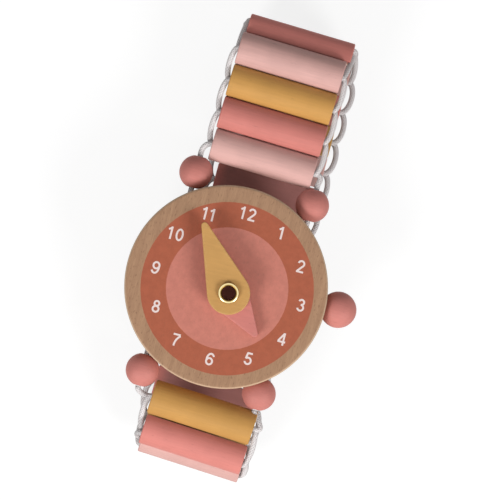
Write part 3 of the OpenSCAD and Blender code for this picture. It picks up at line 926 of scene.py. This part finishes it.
# the outline carried along X as a holed bar, and set halfway between the slat's two hinge lines
def makeSlat(i, look):
    n, rows = i - 1, look["rows"]
    outline, normals = slatOutline(slatWidth / mm + slatWider[n], look)
    section, along, near = holedBar(outline, normals, np.array([0, look["holeLevel"]]), look["hole"],
                                    2 * slatHalf[n] / mm, look["edge"], look["mouth"], rows)
    # sanding: slow waves along and across, in a phase of each slat's own, none at the ends
    (longWave, longPhase), (wideWave, widePhase) = look["sandedAlong"], look["sandedAcross"]
    alongWave = np.sin(longWave * along[:rows, None] + longPhase * i)
    wave = alongWave * np.sin(wideWave * outline[:, 0] + widePhase * i)
    ease = np.sin(np.linspace(0, math.pi, rows))[:, None]
    section[:rows] -= (look["sanded"] * (1 + wave) / 2 * ease)[..., None] * normals[None]
    world = slatMiddle[n] / mm + section[..., :1] * slatAlong[n] + section[..., 1:] * slatUp[n]
    x = slatShift[n] / mm + along[:, None] + 0 * section[..., 0]
    grid = askew(i, np.concatenate([x[..., None], world], -1) * mm)
    # paint rubs off at the ends and the foot's two edges, and the flat inside gets painted shade along its
    # middle, fading before the ends
    atSide = np.abs(outline[:, 0]) > slatWidth / 2 / mm - look["footWidth"]
    foot = np.clip(1 - outline[:, 1] / look["footHeight"], 0, 1) * atSide
    edge = np.maximum(look["endWear"] * near[:, None], look["footWear"] * foot[None])
    # painted shade on the flat inside, strongest in the middle and fading towards the ends
    inside = np.clip(1 - outline[None, :, 1] / look["shadeHeight"], 0, 1)
    dirtAndShade = np.clip((look["shadeTo"] - np.abs(along)) / look["shadeFade"], 0, 1)[:, None] * inside
    tone = look["tone"] + look["toneSpread"] * math.sin(look["toneStep"] * i)
    node = f"slat_{i:02d}"
    paint, slot = look["paints"][n % len(look["paints"])]
    piece = makePiece(f"strapSlat{i:02d}", [grid], paints[paint], wrapRows=True,
                      stored=dict(edge=edge, tone=tone, dirtAndShade=dirtAndShade))
    onBody(piece, node, [node])


for slatIndex in range(1, slatCount + 1):
    makeSlat(slatIndex, slatLook)
print("slats made:", slatCount)


# elastic: two strands lie in each slat's hole, and each leaves by one end in an arc to the next slat. How
# far the arcs stand out goes by link numbers, with even steps between
cordLook = dict(radius=0.5, strand=0.58, sides=14, arc=25, arm=5, headRows=41, lead=0.3, rise=1.0, bow=3.0,
                leastBow=1.0, blendFrom=0.2, blendTo=0.8,
                bulge=((1, 3, 4, 5, 6, 7, 17, 18, 20), (0.9, 0.9, 0.3, 0.6, 0.9, 1.4, 1.4, 0.8, 0.9)))


# the place of a strand in a slat's section, at a level in millimetres from the middle of the hole
def strandAt(i, level):
    return slatMiddle[i - 1] + (slatLook["holeLevel"] + level) * mm * slatUp[i - 1]


# a round tube along each path, all in one piece
def makeCord(name, paths, look):
    tubes = [tubeGrid(path, normal, look["radius"] * mm, look["sides"]) for path, normal in paths]
    return makePiece(name, [t[0] for t in tubes], elastic, lengths=[t[1] for t in tubes])


# a half ellipse between the two strands, from the first to the last angle, with straight arms in the slats
def linkPath(i, side, look, first=0.0, last=180.0):
    a = np.radians(np.linspace(first, last, look["arc"]))
    share = ((1 - np.cos(a)) / 2)[:, None]
    bulge = np.interp(i, *look["bulge"]) * mm
    begin, end = strandAt(i, side * look["strand"]), strandAt(i + 1, -side * look["strand"])
    shift = slatShift[i - 1] + share * (slatShift[i] - slatShift[i - 1])
    half = slatHalf[i - 1] + share * (slatHalf[i] - slatHalf[i - 1])
    out = side * (half + bulge * np.sin(a)[:, None])
    path = np.concatenate([shift + out, begin + share * (end - begin)], -1)
    parts, shares = [path], [share]
    ends = np.zeros((look["arm"], 1))
    if first == 0:
        inside = np.concatenate([[slatShift[i - 1]], begin])
        parts.insert(0, np.linspace(inside, path[0], look["arm"], endpoint=False))
        shares.insert(0, ends)
    if last == 180:
        inside = np.concatenate([[slatShift[i]], end])
        parts.append(np.linspace(inside, path[-1], look["arm"], endpoint=False)[::-1])
        shares.append(ends + 1)
    run = end - begin
    normal = np.array([0, -run[1], run[0]]) / np.linalg.norm(run)
    path, share = np.concatenate(parts), np.concatenate(shares)
    return (1 - share) * askew(i, path) + share * askew(i + 1, path), normal


# a link bends from its slat to the next, between two places on the line from hole to hole
def makeLink(i, look):
    piece = makeCord(f"elasticArc{i:02d}", [linkPath(i, side, look) for side in (-1, 1)], look)
    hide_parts(f"elastic_link_{i:02d}")
    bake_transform(piece)


# the open link's two halves: on each slat, its own part of the arc
def makeHalf(i, node, first, last, look):
    paths = [linkPath(openLink, side, look, first, last) for side in (-1, 1)]
    piece = makeCord(f"elasticEnd{i:02d}", paths, look)
    onBody(piece, f"slat_{i:02d}", [node])


# the outer poles of the two lug beads on one side of the disc, left then right
def lugPoles(way):
    names = ("lug_bead_11", "lug_bead_1") if way > 0 else ("lug_bead_7", "lug_bead_5")
    return [beadAt(n)[0] + (0, way * beadAt(n)[1], 0) for n in names]


# a strand from each bead's pole, in a cubic curve that bows out to the end slat's hole, and on to its middle
def makeLugStrands(node, i, way, look):
    paths = []
    upright = np.array([0, 0, 1.0])
    poles = lugPoles(way)
    for side, pole in zip((-1, 1), poles):
        inside = strandAt(i, -way * side * look["strand"])
        mouth = np.array([slatShift[i - 1] + side * slatHalf[i - 1], *inside])
        lead = pole + (0, way * look["lead"] * mm, 0)
        onward = lead + (0, way * look["rise"] * mm, 0)
        bow = max(look["leastBow"] * mm, look["bow"] * mm - abs(pole[0] - mouth[0]))
        bowed = mouth + (side * bow, 0, 0)
        t = np.linspace(0, 1, look["arc"])[:, None]
        u = 1 - t
        curve = u ** 3 * lead + 3 * u * u * t * onward + 3 * u * t * t * bowed + t ** 3 * mouth
        middle = np.array([slatShift[i - 1], *inside])
        arm = np.linspace(middle, mouth, look["arm"], endpoint=False)[::-1]
        path = np.concatenate([pole[None], curve, arm])
        share = np.concatenate([[[0]], t, np.ones((look["arm"], 1))])
        paths.append(((1 - share) * path + share * askew(i, path), upright))
    piece = makeCord("elasticLug" + ("Top" if way > 0 else "Bottom"), paths, look)
    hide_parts(node)
    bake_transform(piece)


# a straight strand through the disc on each side, from the lower bead's pole to the upper one's
def makeHeadStrands(look):
    upright = np.array([0, 0, 1.0])
    ends = zip(lugPoles(-1), lugPoles(1))
    paths = [(np.linspace(low, high, look["headRows"]), upright) for low, high in ends]
    onBody(makeCord("elasticHead", paths, look), "head", ["elastic_head"])


for linkIndex in range(1, slatCount):
    if linkIndex != openLink:
        makeLink(linkIndex, cordLook)
makeHalf(openLink, "elastic_half_11", 0.0, 90.0, cordLook)
makeHalf(openLink + 1, "elastic_half_12", 90.0, 180.0, cordLook)
makeLugStrands("elastic_lug_top", 1, 1, cordLook)
makeLugStrands("elastic_lug_bottom", slatCount, -1, cordLook)
makeHeadStrands(cordLook)
print("elastic made")


# white floor: part of its brightness is for the camera and reflections alone, so that the shadow is soft.
# Its size is in metres
floorLook = dict(size=6.0, lines=9, gap=0.05, colour=0.3, glow=0.8)


def makeFloor(look):
    half, level, lines = look["size"] / 2, cadLow[2] - look["gap"] * mm, look["lines"]
    across = np.linspace(-half, half, lines)
    x, y = np.meshgrid(across, across, indexing="ij")
    grid = np.stack([x, y, np.full_like(x, level)], -1)
    mesh = bpy.data.meshes.new("floor")
    mesh.from_pydata(grid.reshape(-1, 3).tolist(), [], gridQuads(lines, lines, False, False).tolist())
    material = bpy.data.materials.new("whiteFloor")
    material.use_nodes = True
    tree = material.node_tree
    tree.nodes.remove(tree.nodes["Principled BSDF"])
    path = put(tree, "ShaderNodeLightPath").outputs
    mirrored = calc(tree, "MAXIMUM", path["Is Glossy Ray"], path["Is Transmission Ray"])
    seen = calc(tree, "MAXIMUM", path["Is Camera Ray"], mirrored)
    strength = times(tree, seen, look["glow"])
    diffuse = put(tree, "ShaderNodeBsdfDiffuse", {"Color": [look["colour"]] * 3 + [1]}).outputs[0]
    glow = put(tree, "ShaderNodeEmission", {"Color": (1, 1, 1, 1), "Strength": strength}).outputs[0]
    both = put(tree, "ShaderNodeAddShader", {0: diffuse, 1: glow}).outputs[0]
    tree.links.new(both, tree.nodes["Material Output"].inputs["Surface"])
    mesh.materials.append(material)
    floor = bpy.data.objects.new("floor", mesh)
    scene.collection.objects.link(floor)


makeFloor(floorLook)


# two soft lamps on the side of 6 o'clock, in metres and watts, and an even pale sky that shows white
lightLook = dict(sky=0.27, distance=0.9, rise=36, size=0.39, power=4.1,
                 lamps=(("leftLamp", -0.95), ("rightLamp", 0.95)))


def makeLights(look):
    for name, across in look["lamps"]:
        data = bpy.data.lights.new(name, "AREA")
        data.shape, data.size, data.energy = "DISK", look["size"], look["power"]
        level = pictureRight * across - pictureUp
        level /= np.linalg.norm(level)
        lift = math.radians(look["rise"])
        away = np.array([*(level * math.cos(lift)), math.sin(lift)]) * look["distance"]
        lamp = bpy.data.objects.new(name, data)
        lamp.location = away
        lamp.rotation_euler = (0, math.radians(90) - lift, math.atan2(away[1], away[0]))
        scene.collection.objects.link(lamp)
    world = bpy.data.worlds.new("paleSky")
    scene.world = world
    world.use_nodes = True
    tree = world.node_tree
    path = put(tree, "ShaderNodeLightPath").outputs
    seen = calc(tree, "MAXIMUM", path["Is Camera Ray"], path["Is Glossy Ray"])
    strength = weighed(tree, look["sky"], (seen, 1 - look["sky"]))
    tree.links.new(strength, tree.nodes["Background"].inputs["Strength"])
    tree.nodes["Background"].inputs["Color"].default_value = (1, 1, 1, 1)


makeLights(lightLook)
scene.view_settings.view_transform = "Standard"
print("floor and lights made")
